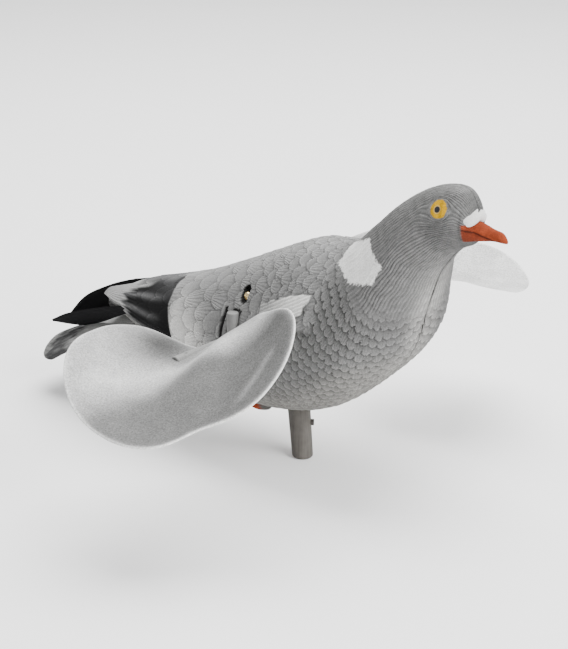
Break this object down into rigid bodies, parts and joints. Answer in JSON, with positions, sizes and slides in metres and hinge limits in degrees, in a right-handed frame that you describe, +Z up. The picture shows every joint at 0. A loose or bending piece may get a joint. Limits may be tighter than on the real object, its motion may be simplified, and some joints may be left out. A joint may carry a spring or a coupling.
{
  "type": "spinning-wing pigeon decoy",
  "caption": "Flocked life-size pigeon figure on a short peg, with curved wing blades that turn together on a crosswise axle.",
  "frame": {"origin": "middle of the peg's flat foot", "axes": "+X towards the beak, +Z up, -Y towards the bird's right side"},
  "size_m": [0.3954, 0.4058, 0.2145],
  "materials": {
    "flock": "mid-grey flock with painted patches",
    "pale_flock": "pale grey speckled flock",
    "black_flock": "black flock",
    "grey_plastic": "satin",
    "steel": "drawn rod",
    "brass": "worn",
    "peg": "grey-stained, with upright grain",
    "dark_plastic": "matt"
  },
  "bodies": {
    "bird": {"body_right_half": "flock", "body_left_half": "flock", "primary_tips_right": "black_flock", "primary_tips_left": "black_flock", "body_screw": "brass", "axle_post_right": "grey_plastic", "axle_post_left": "grey_plastic", "stand_peg": "peg", "peg_pin": "dark_plastic"},
    "wings": {"wing_axle": "steel", "wing_blade_right": "pale_flock", "wing_blade_left": "pale_flock"}
  },
  "joints": [
    {"name": "wing_spin", "type": "hinge", "parent": "bird", "child": "wings", "pos_m": [-0.0166, 0, 0.0956], "axis": [0, 1, 0], "continuous": true}
  ]
}
